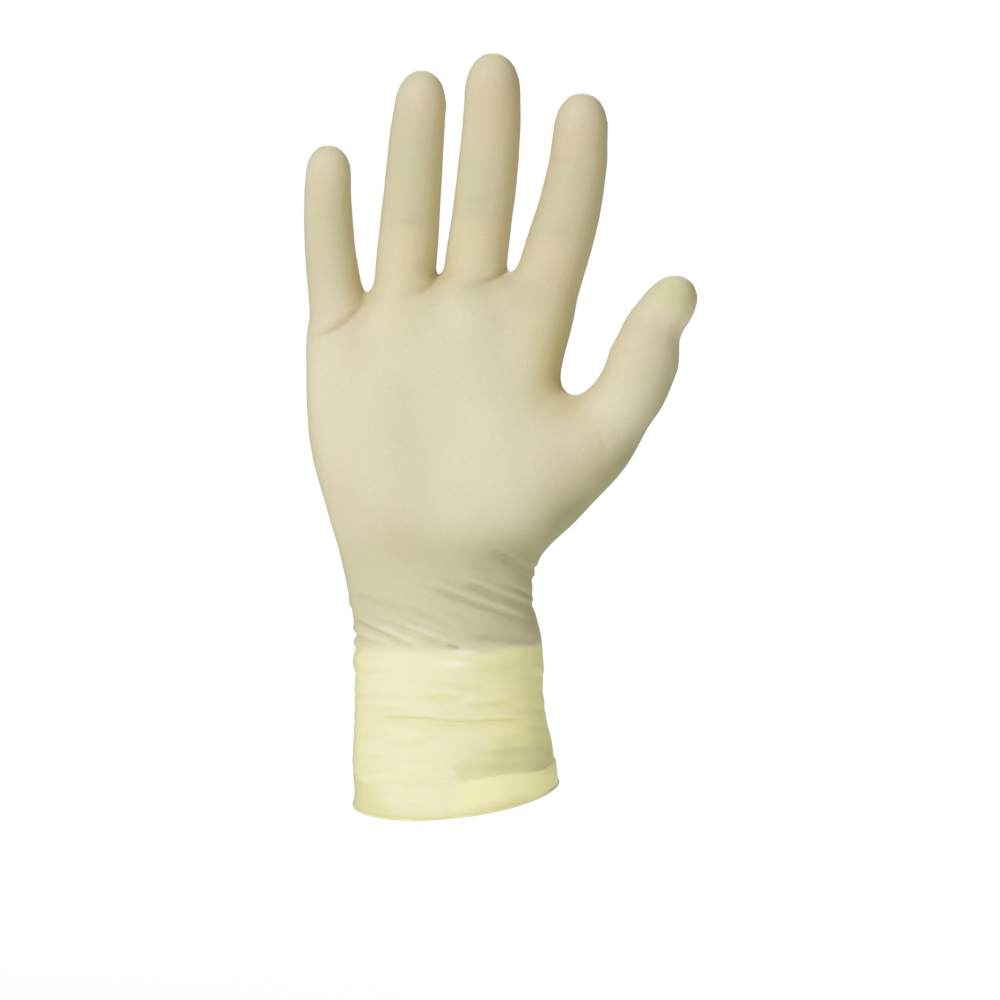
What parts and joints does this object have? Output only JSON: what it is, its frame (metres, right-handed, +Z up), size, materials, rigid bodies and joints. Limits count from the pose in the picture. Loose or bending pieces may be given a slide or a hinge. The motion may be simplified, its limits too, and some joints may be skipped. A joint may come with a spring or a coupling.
{
  "type": "cleanroom glove",
  "caption": "Thin dipped latex glove in its worn form: hollow fingers and palm, a gathered wrist and a long cuff with a doubled band and a rolled rim.",
  "frame": {"origin": "centre of the cuff's mouth, where the wrist goes in", "axes": "+Z runs up the hand to the fingertips, -Y is the palm's side, +X is the thumb's side"},
  "size_m": [0.1409, 0.0555, 0.2772],
  "materials": {
    "latex": "matt powder-free natural latex, cream with a green-yellow cast, slightly translucent"
  },
  "bodies": {
    "root": {"glove": "latex"}
  },
  "joints": []
}
